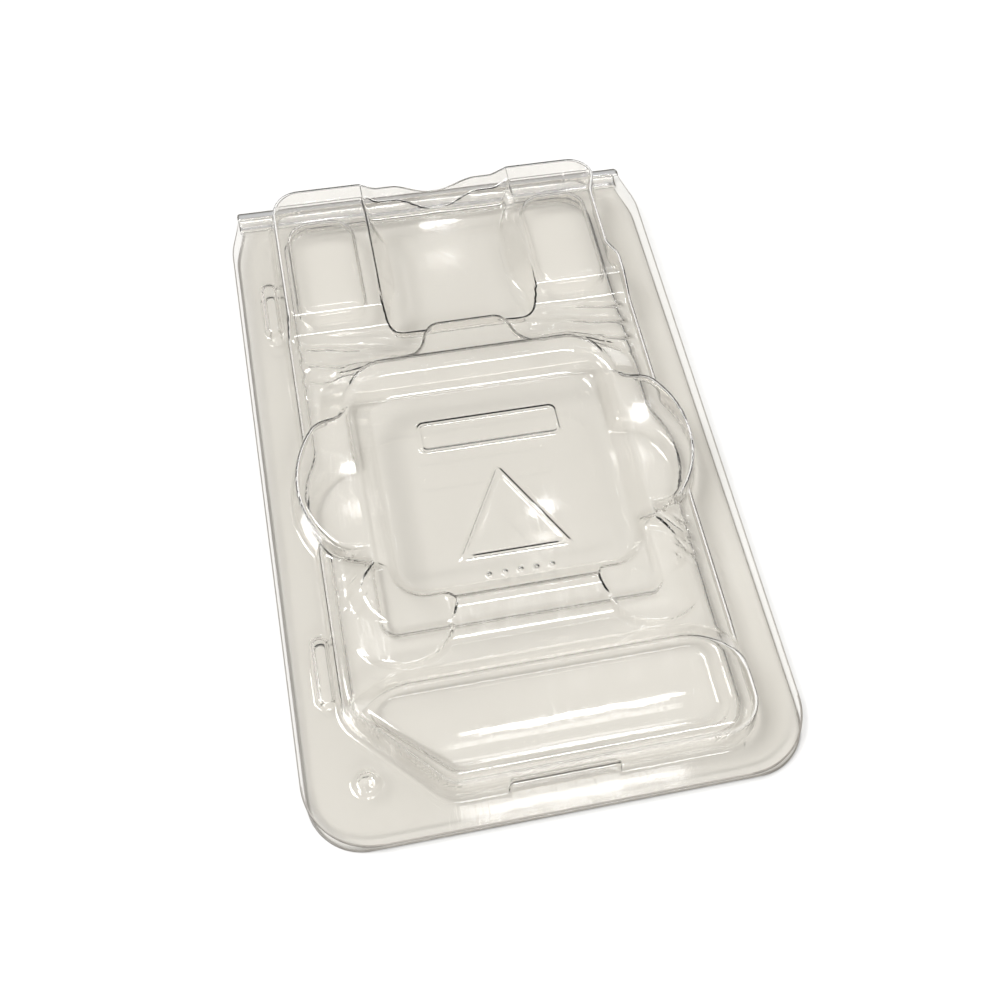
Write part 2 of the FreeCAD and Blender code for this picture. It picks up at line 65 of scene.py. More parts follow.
LID_TOP, SHELF = 7.2, 4.0
SKIRT_HALF, SKIRT_FRONT, SKIRT_BACK, SKIRT_ROUND = 29.6, -53.3, 54.5, 6.0
CUT_X, CUT_Y = -16.7, -39.7
TRAY_FOOT, BLOCK_FOOT = -34.6, 24.9
CHANNEL_LEVEL, CHANNEL_FOOT, CHANNEL_FRONT_HALF, CHANNEL_RIM = 1.6, 9.8, 11.9, 12.9
CHANNEL_FRONT, CHANNEL_BACK = 24.0, 49.6
WAVE_SIDE, WAVE_LOW = 5.5, 2.9
UPRIGHT, RIGHT_WAIST = 1.0, 1.4
SQUARE_HALF, SQUARE_BACK, SQUARE_ROUND = 22.6, 18.1, 8.0
WING_FRONT, WING_BACK = -17.0, 8.4
LOBE_X, LOBE_Y, LOBE_ROUND = 15.1, -3.8, 17.0
TAB_HALF, TAB_BACK, TAB_LEVEL = 8.0, 24.4, 6.0
DISH_LEVEL, DISH_HALF, DISH_FRONT, DISH_BACK, DISH_ROUND = 4.0, 18.0, -22.8, 10.8, 4.0
RIDGE_HALF, RIDGE_FRONT, RIDGE_ROUND, RIDGE_RUN, RIDGE_SLOPE = 21.6, -26.9, 6.0, 4.6, 55.0
PAD_X, PAD_Y, PAD_ROUND, PAD_LEVEL = 18.8, -26.2, 8.4, 5.6
NOTCH_HALF, NOTCH_DEEP, NOTCH_HIGH = 7.7, 1.1, 2.4
RIB_X, RIB_HALF, RIB_LONG, RIB_HIGH = -31.1, 1.7, 5.7, 1.5
RIB_YS = (34.0, -31.4)
BUTTON_X, BUTTON_Y, BUTTON_ROUND, BUTTON_HIGH = -27.3, -48.6, 2.2, 1.15
DIMPLE_ROUND, DIMPLE_DEEP = 0.8, 0.25

PLUG_CLEAR, DECK, REAR_PLUG = 1.6, 2.6, 5.2
PLUG_IN, PLUG_OUT, PLUG_FRONT, PLUG_BACK, PLUG_ROUND = 14.4, 27.4, 29.6, 52.0, 4.5
POCKET_HALF, SQUARE_MID, FINGER_ROUND = 20.6, -6.0, 8.0
BIN_LEFT, BIN_RIGHT, BIN_FRONT, BIN_BACK = 24.4, 25.0, -48.6, -36.4
BIN_SLOPE_START, BIN_SLOPE_RUN, BIN_SLOPE_RISE = -39.4, 10.4, 9.2
NEST = 0.35

EMBOSS = 0.28
BAR_HALF, BAR_MID, BAR_WIDE = 11.5, 2.9, 3.0
TRIANGLE_Y, TRIANGLE_SIDE, STROKE = -14.0, 9.2, 1.1
DOT_Y, DOT_GAP, DOT_ROUND = -22.0, 2.4, 0.6

GRID_HALF, GRID_END = 34.0, 54.6  # the dense central grid; rings run from its rim to the flange's edge
WALL_ZONE = 0.6                   # how far below the shelf a point still counts as standing on it
DRAFT = 10.0                      # degrees that a formed wall leans

# ---------------------------------------------------------------- plan shapes: signed distance, negative inside


def rectangle(x, y, left, right, front, back, corner):
    across = np.abs(x - (left + right) / 2) - (right - left) / 2 + corner
    along = np.abs(y - (front + back) / 2) - (back - front) / 2 + corner
    outside = np.hypot(np.maximum(across, 0), np.maximum(along, 0))
    return outside + np.minimum(np.maximum(across, along), 0) - corner


def disc(x, y, middle_x, middle_y, radius):
    return np.hypot(x - middle_x, y - middle_y) - radius


def soft_max(a, b, width):
    near = np.maximum(width - np.abs(a - b), 0)
    return np.maximum(a, b) + near * near / (4 * width)


def soft_min(a, b, width):
    return -soft_max(-a, -b, width)


def ease(value, low, high):
    share = np.clip((value - low) / (high - low), 0, 1)
    return share * share * (3 - 2 * share)


def tray(x, y, inset):
    """The foot of a tray with its sloping front left corner, set in from the lid's walls."""
    half = SKIRT_HALF - inset
    box = rectangle(x, y, -half, half, SKIRT_FRONT + inset, SKIRT_BACK - inset, SKIRT_ROUND)
    run = (CUT_X + SKIRT_HALF, SKIRT_FRONT - CUT_Y)
    length = math.hypot(*run)
    slope = ((x + SKIRT_HALF) * run[1] - (y - CUT_Y) * run[0]) / length + inset
    return soft_max(box, slope, 1.6)


def triangle(x, y, side):
    """A triangle that points to the hinge. side is half its length."""
    left = -(x + side) * math.cos(math.pi / 6) + (y - TRIANGLE_Y + side / math.sqrt(3)) / 2
    right = (x - side) * math.cos(math.pi / 6) + (y - TRIANGLE_Y + side / math.sqrt(3)) / 2
    front = TRIANGLE_Y - side / math.sqrt(3) - y
    return soft_max(soft_max(left, right, 1.2), front, 1.2)


# ---------------------------------------------------------------- formed walls

LEAN = math.tan(math.radians(DRAFT))


def wall(inside, low, high, rim, foot, draft=DRAFT):
    """Height of a formed wall from low to high, with both its edges rounded. inside is how far a point lies
    inside the line where the wall would meet low."""
    lean = np.tan(np.radians(draft))
    turn = np.radians(90 - draft)
    tall = high - low
    reach = foot * np.tan(turn / 2)
    run = np.clip(inside + reach, 0, foot * np.sin(turn))
    below = np.where(inside < reach * np.cos(turn), foot - np.sqrt(foot * foot - run * run), inside / lean)
    past = inside - tall * lean
    reach = rim * np.tan(turn / 2)
    run = np.clip(reach - past, 0, rim * np.sin(turn))
    drop = np.where(past > -reach * np.cos(turn), rim - np.sqrt(rim * rim - run * run), -past / lean)
    return low + np.where(inside / lean < tall / 2, below, tall - drop)


def ring(distance, width, high):
    """A rounded raised line of that width."""
    return high * ease(-(np.abs(distance) - width / 2), -0.22, 0.36)


def rib(x, y, middle_y, shrink):
    foot = rectangle(
        x, y, RIB_X - RIB_HALF + shrink, RIB_X + RIB_HALF - shrink, middle_y - RIB_LONG + shrink,
        middle_y + RIB_LONG - shrink, RIB_HALF - shrink - 0.05,
    )
    return wall(-foot, GAUGE, RIB_HIGH - shrink, 0.7, 0.45, 32.0)


def button(x, y, shrink):
    edge = disc(x, y, BUTTON_X, BUTTON_Y, BUTTON_ROUND - shrink)
    return wall(-edge, GAUGE, BUTTON_HIGH - shrink, 0.7, 0.7, 48.0)


def shelf_ripple(x, y):
    """Uneven forming of the shelf between the rear blocks and the lobes, and the tray's faint crown."""
    behind = ease(y, 12, 17) * (1 - ease(y, 23, 25.5))
    outer = ease(np.abs(x), 15.5, 19.5)
    rough = (0.16 + 0.14 * outer) * np.sin(y * 1.9 + 0.35 * x) + 0.1 * np.sin(x * 0.9 - y * 0.7)
    crown = 0.12 * np.cos((y + 45) * math.pi / 10) * (1 - ease(y, -41, -38)) * ease(y, -51, -48)
    front = ease(np.abs(x), 21.5, 23.5) * ease(-y, 16.5, 18.5) * (1 - ease(-y, 24.0, 26.5))
    pinch = 0.2 * np.sin(1.7 * y + 1.1 * np.abs(x)) * np.sin(0.9 * x + 0.6 * y + 1.0)
    return rough * behind + pinch * front + crown


def dimple(x, y):
    return DIMPLE_DEEP * ease(-disc(x, y, BUTTON_X, BUTTON_Y, DIMPLE_ROUND + 0.25), 0, 0.75)


def channel_floor(x, y):
    """The channel between the rear blocks, its end walls and the waved rim behind it."""
    bulge = ease(y, 28.5, 34.5) * (1 - ease(y, 43.5, 50.0))
    foot = CHANNEL_FRONT_HALF - (CHANNEL_FRONT_HALF - CHANNEL_FOOT) * bulge
    lean = np.degrees(np.arctan((CHANNEL_RIM - foot) / (LID_TOP - CHANNEL_LEVEL)))
    plan = soft_max(np.abs(x) - foot, CHANNEL_FRONT - y, 3.0)
    sides = wall(plan, CHANNEL_LEVEL, LID_TOP + 0.1, 0.9, 1.3, lean)
    end = wall(y - CHANNEL_BACK, CHANNEL_LEVEL, LID_TOP + 0.1, 1.0, 1.8, 14.0)
    wave = WAVE_LOW + (WAVE_SIDE - WAVE_LOW) * ease(np.abs(x), 0.6, 7.6)
    wave = wave + (LID_TOP + 0.1 - WAVE_SIDE) * ease(np.abs(x), CHANNEL_RIM - 3.0, CHANNEL_RIM + 1.0)
    behind = soft_min(end, wave, 0.9)
    return soft_max(sides, behind, 1.0)


def cover_plan(x, y):
    square = rectangle(x, y, -SQUARE_HALF, SQUARE_HALF, SQUARE_MID, SQUARE_BACK, SQUARE_ROUND)
    lobe = disc(np.abs(x), y, LOBE_X, LOBE_Y, LOBE_ROUND)
    lobe = soft_max(soft_max(lobe, WING_FRONT - y, 1.5), y - WING_BACK, 1.5)
    return soft_min(square, lobe, 4.0)


def cover_height(x, y, shelf):
    """The raised square over the processor with its side lobes, front slope, round pads and finger tab."""
    edge = -cover_plan(x, y)
    plateau = wall(edge, GAUGE, LID_TOP, 0.9, 0.8)
    fading = (1 - ease(np.abs(x), 24.0, 28.0)) * ease(-y, 9.0, 13.0)
    over_shelf = wall(edge - (SHELF - GAUGE) * LEAN, SHELF, LID_TOP, 0.9, 0.9, DRAFT + 52.0 * fading)
    on_shelf = shelf > SHELF - WALL_ZONE
    raised = np.maximum(plateau, np.minimum(over_shelf, shelf + over_shelf - SHELF))
    plateau = np.where(on_shelf, raised, plateau)
    ridge = rectangle(x, y, -RIDGE_HALF, RIDGE_HALF, RIDGE_FRONT, SQUARE_BACK - 3, RIDGE_ROUND)
    slope = wall(RIDGE_RUN - ridge, SHELF, LID_TOP, 2.2, 1.8, RIDGE_SLOPE)
    pad = disc(np.abs(x), y, PAD_X, PAD_Y, PAD_ROUND)
    slope = soft_min(slope, wall(pad + 1.1, PAD_LEVEL, LID_TOP + 0.4, 0.6, 1.2, 26.0), 0.35)
    pad_top = wall(-pad, SHELF, PAD_LEVEL, 0.6, 0.6, 14.0)
    slope = np.maximum(slope, SHELF + (pad_top - SHELF) * (1 - ease(np.abs(x), 20.0, 26.5)))
    slope = np.where(slope > SHELF, slope, 0.0)
    tab = rectangle(x, y, -TAB_HALF, TAB_HALF, SQUARE_MID, TAB_BACK, 3.5)
    finger_tab = wall(-soft_min(tab, -edge, 6.0), GAUGE, TAB_LEVEL, 0.7, 0.7)
    inside = np.where(on_shelf, np.minimum(slope, shelf + slope - SHELF), 0.0)
    return np.maximum(np.maximum(plateau, finger_tab), inside)


def upright_rear(y):
    """Draws the rear wall up towards the fold, where it stands almost upright."""
    behind = SKIRT_BACK - y
    return y - UPRIGHT * (1 - np.exp(-np.maximum(behind, 0) / 0.3)) * ease(y, 44, 50)


def lid_height(x, y):
    waist = RIGHT_WAIST * ease(y, 31.5, 35.5) * (1 - ease(y, 46, 52)) * ease(x, 18, 26)
    skirt = -tray(x + waist, upright_rear(y), 0)
    terrace = np.maximum(
        wall(-rectangle(x, y, -33.0, 33.0, -90.0, TRAY_FOOT, 14.0), SHELF, LID_TOP, 1.8, 1.2, 45.0),
        wall(y - BLOCK_FOOT, SHELF, LID_TOP, 1.6, 1.8, 45.0),
    )
    terrace = terrace + shelf_ripple(x, y) * ease(skirt, 1.6, 3.6)
    rear = ease(y, 18.0, 21.0)
    top = soft_min(terrace, channel_floor(x, y) * rear + 20.0 * (1 - rear), 0.4)
    foot = 0.8 - 0.42 * ease(y, 50, 53)
    rim = 1.2 + 0.8 * (1 - ease(y, -40, -34))
    body = wall(skirt, GAUGE, top, rim, foot)
    height = np.maximum(body, cover_height(x, y, body))
    recess = rectangle(x, y, -DISH_HALF, DISH_HALF, DISH_FRONT, DISH_BACK, DISH_ROUND)
    height = soft_min(height, wall(recess, DISH_LEVEL, LID_TOP + 0.7, 0.5, 1.2, 45.0), 0.5)

    bar = rectangle(x, y, -BAR_HALF, BAR_HALF, BAR_MID - BAR_WIDE, BAR_MID + BAR_WIDE, 1.4)
    height = height + ring(bar + STROKE / 2, STROKE, EMBOSS)
    height = height + ring(triangle(x, y, TRIANGLE_SIDE) + STROKE / 2, STROKE, EMBOSS)
    for index in range(-2, 3):
        height = height + EMBOSS * ease(-disc(x, y, index * DOT_GAP, DOT_Y, DOT_ROUND), -0.15, 0.35)
    for middle_y in RIB_YS:
        height = np.maximum(height, rib(x, y, middle_y, 0))
    return np.maximum(height, button(x, y, 0)) - dimple(x, y)


def base_height(x, y):
    deck = -tray(x, y + 0.3 * ease(y, 40, 50), PLUG_CLEAR)
    lobe = -disc(np.abs(x), y, LOBE_X, LOBE_Y, LOBE_ROUND - PLUG_CLEAR)
    height = wall(soft_max(deck, lobe, 1.0), GAUGE, DECK, 0.8, 0.6)
    pocket = rectangle(
        x, y, -POCKET_HALF, POCKET_HALF, SQUARE_MID - POCKET_HALF, SQUARE_MID + POCKET_HALF, 1.5
    )
    finger = disc(np.abs(x), y, POCKET_HALF, SQUARE_MID, FINGER_ROUND)
    sunk = soft_min(pocket, finger, 0.8)
    tall = rectangle(x, y, -BIN_LEFT, BIN_RIGHT, BIN_FRONT, BIN_BACK, 3.0)
    length = math.hypot(BIN_SLOPE_RUN, BIN_SLOPE_RISE)
    slope = ((x + BIN_LEFT) * -BIN_SLOPE_RISE - (y - BIN_SLOPE_START) * BIN_SLOPE_RUN) / length
    sunk = np.minimum(sunk, soft_max(tall, slope, 1.2))
    height = np.minimum(height, wall(sunk, GAUGE, DECK + 0.02, 1.1, 1.1, 28.0))
    plug = rectangle(np.abs(x), y, PLUG_IN, PLUG_OUT, PLUG_FRONT, PLUG_BACK, PLUG_ROUND)
    height = np.maximum(height, wall(-plug, GAUGE, REAR_PLUG, 1.2, 0.6))
    for middle_y in RIB_YS:
        height = np.maximum(height, rib(x, y, middle_y, NEST))
    return np.maximum(height, button(x, y, NEST)) - dimple(x, y)


# ---------------------------------------------------------------- sheets


def spaced(low, high, step, bands):
    """Grid lines from low to high, step apart, and finer inside the bands of (from, to, spacing)."""
    lines = [low]
    while lines[-1] < high:
        here = lines[-1]
        lines.append(here + min([step] + [fine + 0.35 * max(a - here, here - b, 0) for a, b, fine in bands]))
    lines = np.array(lines)
    return low + (lines - low) * (high - low) / (lines[-1] - low)


def corner_of(half):
    return LID_CORNER if half == LID_HALF else FRONT_CORNER


def round_corners(x, y, half):
    """Draws the grid's two front corners in, so that the rings round them keep an even width."""
    corner = corner_of(half)
    away_x, away_y = np.abs(x) - half + corner, FRONT_EDGE + corner - y
    beyond = (away_x > 0) & (away_y > 0)
    radius = np.hypot(away_x, away_y)
    core, most = corner / 2, math.hypot(corner + GRID_HALF - half, corner - GRID_END - FRONT_EDGE)
    drawn = core + (radius - core) * (corner - 1.2 - core) / (most - core)
    share = np.where(beyond & (radius > core), drawn / np.maximum(radius, 0.1), 1)
    return (
        np.where(beyond, np.sign(x) * (half - corner + away_x * share), x),
        np.where(beyond, FRONT_EDGE + corner - away_y * share, y),
    )


def outline_point(x, y, half):
    """Where the flange's edge lies beside a point on the rim of the central grid."""
    corner = corner_of(half)
    centre = (half - corner, FRONT_EDGE + corner)
    side = math.copysign(1, x)
    away = (abs(x) - centre[0], y - centre[1])
    if away[0] > 0 and away[1] < 0:
        size = corner / math.hypot(*away)
        return side * (centre[0] + away[0] * size), centre[1] + away[1] * size
    if y <= 0.01 - GRID_END:
        return x, FRONT_EDGE
    narrow = EAR_IN * float(ease(np.array(y), FOLD_EDGE - EAR_LONG - 1.5, FOLD_EDGE + 1.5)) / 0.93
    return side * (half - min(narrow, EAR_IN)), y


def plan_of(half, xs, ys):
    """Plan positions and faces of a sheet: a central grid, then rings out to the flange's edge."""
    grid_x, grid_y = np.meshgrid(xs, ys, indexing="ij")
    points = [np.column_stack(round_corners(grid_x.ravel(), grid_y.ravel(), half))]
    wide, deep = len(xs), len(ys)
    index = np.arange(wide * deep).reshape(wide, deep)
    quads = [np.stack([index[:-1, :-1], index[1:, :-1], index[1:, 1:], index[:-1, 1:]], -1).reshape(-1, 4)]
    path = np.concatenate([index[0, ::-1], index[1:-1, 0], index[-1, :]])
    start = points[0][path]
    edge = np.array([outline_point(x, y, half) for x, y in start])
    previous, count = path, wide * deep
    for share in (0.35, 0.7, 0.93, 1.0):
        points.append(start + (edge - start) * share)
        row = np.arange(count, count + len(path))
        quads.append(np.stack([previous[:-1], row[:-1], row[1:], previous[1:]], -1))
        previous, count = row, count + len(path)
    return np.concatenate(points), np.concatenate(quads), previous


def settle(plan, edge, low, high, pitch):
    """Moves points beside a curved or slanting wall onto lines that run along it, so its edges stay clean."""
    x, y = plan[:, 0], plan[:, 1]
    inside = -edge(x, y)
    slope_x = -(edge(x + 0.01, y) - edge(x - 0.01, y)) / 0.02
    slope_y = -(edge(x, y + 0.01) - edge(x, y - 0.01)) / 0.02
    near = (inside > low) & (inside < high) & (np.minimum(np.abs(slope_x), np.abs(slope_y)) > 0.04)
    near &= (np.abs(x) < 33.9) & (y > -54.5) & (y < 54.5)
    move = np.where(near, np.round(inside / pitch) * pitch - inside, 0)
    return plan + np.column_stack([slope_x, slope_y]) * move[:, None]


def make_sheet(name, half, height, xs, ys, undercut, wall_lines):
    """One formed half: outer face from the height function, inner face a sheet's thickness below it."""
    plan, quads, rim = plan_of(half, xs, ys)
    for edge, low, high in wall_lines:
        plan = settle(plan, edge, low, high, 0.12)
    x, y = plan[:, 0], plan[:, 1]
    top = np.column_stack([x, y, height(x, y)])
    if undercut:
        pull = NOTCH_DEEP * ease(-np.abs(x), -NOTCH_HALF - 0.25, -NOTCH_HALF + 0.25)
        pull = pull * (1 - ease(top[:, 2], NOTCH_HIGH - 0.7, NOTCH_HIGH + 0.3))
        pull = pull * ease(y, -54.6, -53.5) * (y < -51.5)
        top[:, 1] += pull
    a, b, c, d = quads.T
    along = np.abs(top[a, 2] - top[c, 2]) <= np.abs(top[b, 2] - top[d, 2])
    cut = np.where(along, [a, b, c, d], [b, c, d, a])
    faces = np.concatenate([cut[[0, 1, 2]].T, cut[[0, 2, 3]].T])
    reach = 0.03
    lean_x = (height(x + reach, y) - height(x - reach, y)) / (2 * reach)
    lean_y = (height(x, y + reach) - height(x, y - reach)) / (2 * reach)
    normal = np.column_stack([-lean_x, -lean_y, np.ones_like(x)])
    if undercut:
        notch = (np.abs(x) < NOTCH_HALF + 0.6) & (y > -54.5) & (y < -51.2)
        facing = np.cross(top[faces[:, 1]] - top[faces[:, 0]], top[faces[:, 2]] - top[faces[:, 0]])
        total = np.zeros_like(top)
        for i in range(3):
            np.add.at(total, faces[:, i], facing)
        normal[notch] = total[notch]
    normal /= np.linalg.norm(normal, axis=1)[:, None]
    thick = GAUGE * (0.62 + 0.38 * np.abs(normal[:, 2:]))
    bottom = top - normal * thick
    top[rim, 2] -= 0.1
    bottom[rim, 2] += 0.1
    count = len(top)
    open_edges = {}
    for quad in quads:
        for i in range(4):
            pair = (quad[i], quad[(i + 1) % 4])
            if (pair[1], pair[0]) in open_edges:
                del open_edges[(pair[1], pair[0])]
            else:
                open_edges[pair] = True
    sides = [(start, start + count, end + count, end) for start, end in open_edges]
    all_faces = faces.tolist() + (faces[:, ::-1] + count).tolist() + sides
    sheet = mesh_object(name, np.concatenate([top, bottom]) * MM, all_faces)
    flat_sides = np.zeros((4 * len(sides), 3))
    bent = np.column_stack([plan[rim] - plan[rim - len(rim)], np.zeros(len(rim))])
    normal[rim] += bent / np.linalg.norm(bent, axis=1)[:, None]
    normal[rim] /= np.linalg.norm(normal[rim], axis=1)[:, None]
    under = normal * (1, 1, -1)
    under[: len(under) - len(rim)] = -normal[: len(under) - len(rim)]
    shading = np.concatenate([normal[faces.ravel()], under[faces[:, ::-1].ravel()], flat_sides])
    sheet.data.normals_split_custom_set(shading.tolist())
    # The flange's last ring and the cut sides take the edge material, whose dark colour is painted shade that
    # draws an outline.
    painted_outline_faces = np.zeros(len(all_faces), dtype=int)
    last_ring = np.arange(len(quads) - len(rim) + 1, len(quads))
    for layer in range(4):
        painted_outline_faces[last_ring + layer * len(quads)] = 1
    painted_outline_faces[4 * len(quads):] = [y[start] < 54.5 for start, _ in open_edges]
    sheet.data.materials.append(None)
    sheet.data.materials.append(None)
    sheet.data.polygons.foreach_set("material_index", painted_outline_faces)
    return sheet


def mesh_object(name, points, faces):
    mesh = bpy.data.meshes.new(name)
    mesh.from_pydata(points.tolist(), [], faces)
    mesh.shade_smooth()
    mesh.update()
    piece = bpy.data.objects.new(name, mesh)
    bpy.context.scene.collection.objects.link(piece)
    return piece


def lid_place():
    turn = Matrix.Rotation(LID_TILT, 4, "X")
    turn.translation = Vector(
        (0, FOLD_EDGE * (1 - math.cos(LID_TILT)) * MM, (FOLD_GAP - FOLD_EDGE * math.sin(LID_TILT)) * MM)
    )
    return turn


coarse = 1.0
STEP, FINE, FINEST = 0.42 * coarse, 0.19 * coarse, 0.16 * coarse
lid_xs = spaced(-GRID_HALF, GRID_HALF, STEP, [
    (-33, -25, FINE), (-24, -20.6, FINE), (-13.4, 13.4, FINE), (20.6, 24, FINE), (27.6, 29.9, FINE),
])
lid_ys = spaced(-GRID_END, GRID_END, STEP, [
    (-54.2, -46.5, FINE), (-39, -33, FINE), (-28, -25.8, FINE), (-23.5, 6.5, FINEST), (14, 18.4, FINE),
    (23.0, 29, FINE), (48.5, 54.6, FINE), (53.9, 54.6, 0.07 * coarse),
])
LID_WALL_LINES = (
    (lambda x, y: tray(x, y, 0), -0.8, 3.0),
    (cover_plan, -0.8, 2.0),
    (lambda x, y: disc(np.abs(x), y, PAD_X, PAD_Y, PAD_ROUND), -0.6, 1.6),
)
lid_sheet = make_sheet("lid_sheet", LID_HALF, lid_height, lid_xs, lid_ys, True, LID_WALL_LINES)
lid_sheet.data.transform(lid_place())
base_xs = spaced(-GRID_HALF, GRID_HALF, STEP * 1.2, [
    (-32.8, -25, FINE), (-22.5, -19, FINE), (-15.5, -13.5, FINE), (13.5, 15.5, FINE), (19, 22.5, FINE),
    (25.6, 28.4, FINE),
])
base_ys = spaced(-GRID_END, GRID_END, STEP * 1.2, [
    (-52.6, -46.5, FINE), (-38, -35, FINE), (-28.5, -25, FINE), (13, 16.5, FINE), (28.6, 31.4, FINE),
    (50.6, 53.7, FINE),
])
base_sheet = make_sheet(
    "base_sheet", BASE_HALF, base_height, base_xs, base_ys, False,
    ((lambda x, y: tray(x, y, PLUG_CLEAR), -0.6, 1.6),),
)

# ---------------------------------------------------------------- rolled hinge

ROLL = (FOLD_GAP + GAUGE) / 2
HINGE_HALF = 34.8


def hinge_roll():
    """The sheet's U-shaped fold behind both flanges, as one strip with a little waviness along it."""
    middle = ROLL - GAUGE / 2
    centre = FOLD_EDGE + 1.0
    section = [(FOLD_EDGE + 0.02, -middle, 0, -1)]
    section += [(FOLD_EDGE + 0.5, -middle, 0, -1)]
    for step_no in range(25):
        angle = -math.pi / 2 + math.pi * step_no / 24
        out_y, out_z = math.cos(angle), math.sin(angle)
        section.append((centre + middle * out_y, middle * out_z, out_y, out_z))
    section += [(FOLD_EDGE + 0.5, middle, 0, 1), (FOLD_EDGE + 0.02, middle, 0, 1)]
    xs = np.linspace(-HINGE_HALF, HINGE_HALF, 141)
    count = len(section)
    points, faces = [], []
    for x in xs:
        for side in (1, -1):
            for y, z, out_y, out_z in section:
                half = side * GAUGE / 2
                squeeze = 0.05 * math.sin(x * 0.35) * max(out_y, 0)
                points.append((x, y + out_y * half - abs(squeeze), ROLL + z + out_z * half))
    ring_size = 2 * count
    for i in range(len(xs) - 1):
        here, there = i * ring_size, (i + 1) * ring_size
        for j in range(count - 1):
            faces.append((here + j, there + j, there + j + 1, here + j + 1))
            k = count + j
            faces.append((here + k, here + k + 1, there + k + 1, there + k))
        faces.append((here, here + count, there + count, there))
        faces.append((here + count - 1, there + count - 1, there + ring_size - 1, here + ring_size - 1))
    last = (len(xs) - 1) * ring_size
    for j in range(count - 1):
        faces.append((j, j + 1, count + j + 1, count + j))
        faces.append((last + j, last + count + j, last + count + j + 1, last + j + 1))
    return mesh_object("hinge_roll", np.array(points) * MM, faces)


roll = hinge_roll()

# ---------------------------------------------------------------- materials


def node(tree, kind, **inputs):
    made = tree.nodes.new(kind)
    for key, value in inputs.items():
        made.inputs[key.replace("_", " ")].default_value = value
    return made


def clear_sheet():
    """Clear PET: faint warm tint, slight waviness from forming, fine scuffs that dull the gloss in places."""
    material = bpy.data.materials.new("clear_pet_sheet")
    material.use_nodes = True
    tree = material.node_tree
    tree.nodes.clear()
    link = tree.links.new
    place = tree.nodes.new("ShaderNodeTexCoord")

    wave = node(tree, "ShaderNodeTexNoise", Scale=90.0, Detail=2.0, Roughness=0.5)
    link(place.outputs["Object"], wave.inputs["Vector"])
    stretch = tree.nodes.new("ShaderNodeMapping")
    stretch.inputs["Scale"].default_value = (2500.0, 160.0, 400.0)
    stretch.inputs["Rotation"].default_value = (0.0, 0.0, 0.6)
    link(place.outputs["Object"], stretch.inputs["Vector"])
    scuff = node(tree, "ShaderNodeTexNoise", Scale=1.0, Detail=4.0, Roughness=0.6)
    link(stretch.outputs["Vector"], scuff.inputs["Vector"])
    rough = tree.nodes.new("ShaderNodeMapRange")
    rough.inputs["From Min"].default_value = 0.45
    rough.inputs["From Max"].default_value = 0.8
    rough.inputs["To Min"].default_value = 0.02
    rough.inputs["To Max"].default_value = 0.14
    link(scuff.outputs["Fac"], rough.inputs["Value"])

    bump = node(tree, "ShaderNodeBump", Strength=0.08, Distance=0.0004)
    link(wave.outputs["Fac"], bump.inputs["Height"])
    fine = node(tree, "ShaderNodeBump", Strength=0.03, Distance=0.00005)
    link(scuff.outputs["Fac"], fine.inputs["Height"])
    link(bump.outputs["Normal"], fine.inputs["Normal"])

    tint = tree.nodes.new("ShaderNodeMix")
    tint.data_type = "RGBA"
    tint.inputs["A"].default_value = (0.992, 0.984, 0.970, 1)
    tint.inputs["B"].default_value = (0.980, 0.970, 0.953, 1)
    link(wave.outputs["Fac"], tint.inputs["Factor"])

    glass = tree.nodes.new("ShaderNodeBsdfPrincipled")
    glass.inputs["Transmission Weight"].default_value = 1.0
    glass.inputs["IOR"].default_value = 1.57
    link(tint.outputs["Result"], glass.inputs["Base Color"])
    link(rough.outputs["Result"], glass.inputs["Roughness"])
    link(fine.outputs["Normal"], glass.inputs["Normal"])

    facing = node(tree, "ShaderNodeLayerWeight", Blend=0.5)
    gloss = tree.nodes.new("ShaderNodeMath")
    gloss.operation = "POWER"
    gloss.inputs[1].default_value = 2.3
    link(facing.outputs["Facing"], gloss.inputs[0])
    passing = tree.nodes.new("ShaderNodeMix")
    passing.data_type = "RGBA"
    passing.inputs["A"].default_value = (0.951, 0.945, 0.929, 1)
    passing.inputs["B"].default_value = (0.15, 0.14, 0.12, 1)
    link(gloss.outputs["Value"], passing.inputs["Factor"])
    through = tree.nodes.new("ShaderNodeBsdfTransparent")
    link(passing.outputs["Result"], through.inputs["Color"])
    path = tree.nodes.new("ShaderNodeLightPath")
    soft = tree.nodes.new("ShaderNodeMixShader")
    link(path.outputs["Is Diffuse Ray"], soft.inputs["Fac"])
    link(glass.outputs["BSDF"], soft.inputs[1])
    link(through.outputs["BSDF"], soft.inputs[2])
    mix = tree.nodes.new("ShaderNodeMixShader")
    link(path.outputs["Is Shadow Ray"], mix.inputs["Fac"])
    link(soft.outputs["Shader"], mix.inputs[1])
    link(through.outputs["BSDF"], mix.inputs[2])
    out = tree.nodes.new("ShaderNodeOutputMaterial")
    link(mix.outputs["Shader"], out.inputs["Surface"])
    return material


def paper():
    material = bpy.data.materials.new("pale_floor")
    material.use_nodes = True
    tree = material.node_tree
    shader = tree.nodes["Principled BSDF"]
    grain = node(tree, "ShaderNodeTexNoise", Scale=900.0, Detail=3.0)
    bump = node(tree, "ShaderNodeBump", Strength=0.02, Distance=0.0002)
    tree.links.new(grain.outputs["Fac"], bump.inputs["Height"])
    tree.links.new(bump.outputs["Normal"], shader.inputs["Normal"])
    shader.inputs["Base Color"].default_value = (0.86, 0.858, 0.85, 1)
    shader.inputs["Roughness"].default_value = 0.9
    shader.inputs["Specular IOR Level"].default_value = 0.1
    return material


